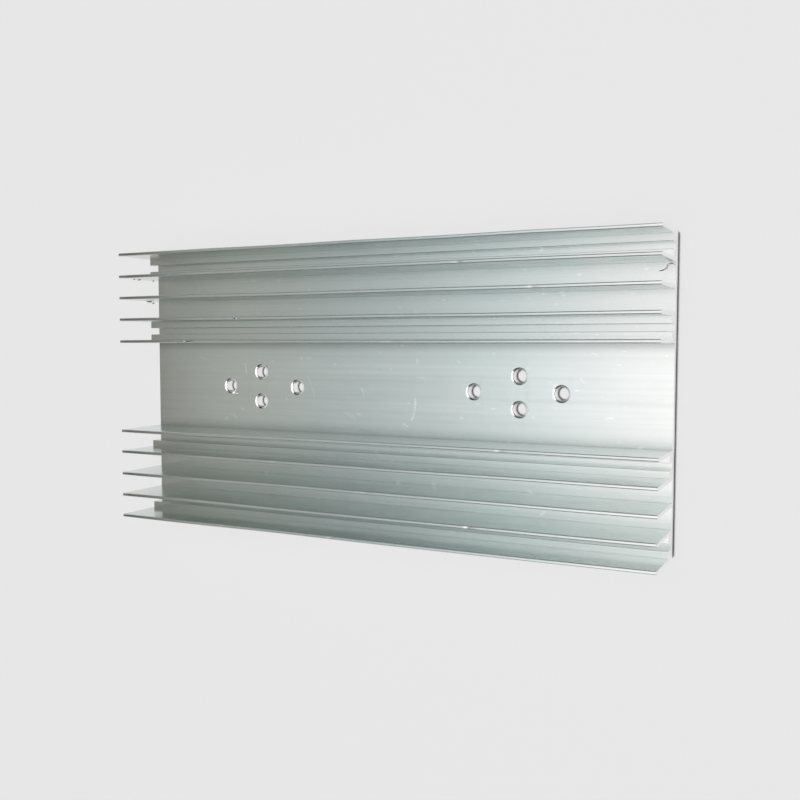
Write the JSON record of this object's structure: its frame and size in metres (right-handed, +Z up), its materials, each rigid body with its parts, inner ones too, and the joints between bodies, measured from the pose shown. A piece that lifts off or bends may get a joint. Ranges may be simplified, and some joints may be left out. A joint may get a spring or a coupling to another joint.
{
  "type": "extruded heat sink",
  "caption": "Long extruded aluminium heat sink with two banks of thin straight fins and a flat drilled channel for power transistors between them.",
  "frame": {"origin": "middle of the flat underside", "axes": "+X along the extrusion, +Y across the fins, +Z up along the fins"},
  "size_m": [0.2, 0.1, 0.026],
  "materials": {
    "aluminium": "bare mill finish with fine lengthwise extrusion lines, sawn ends and light handling scratches"
  },
  "bodies": {
    "root": {"heat_sink": "aluminium"}
  },
  "joints": []
}
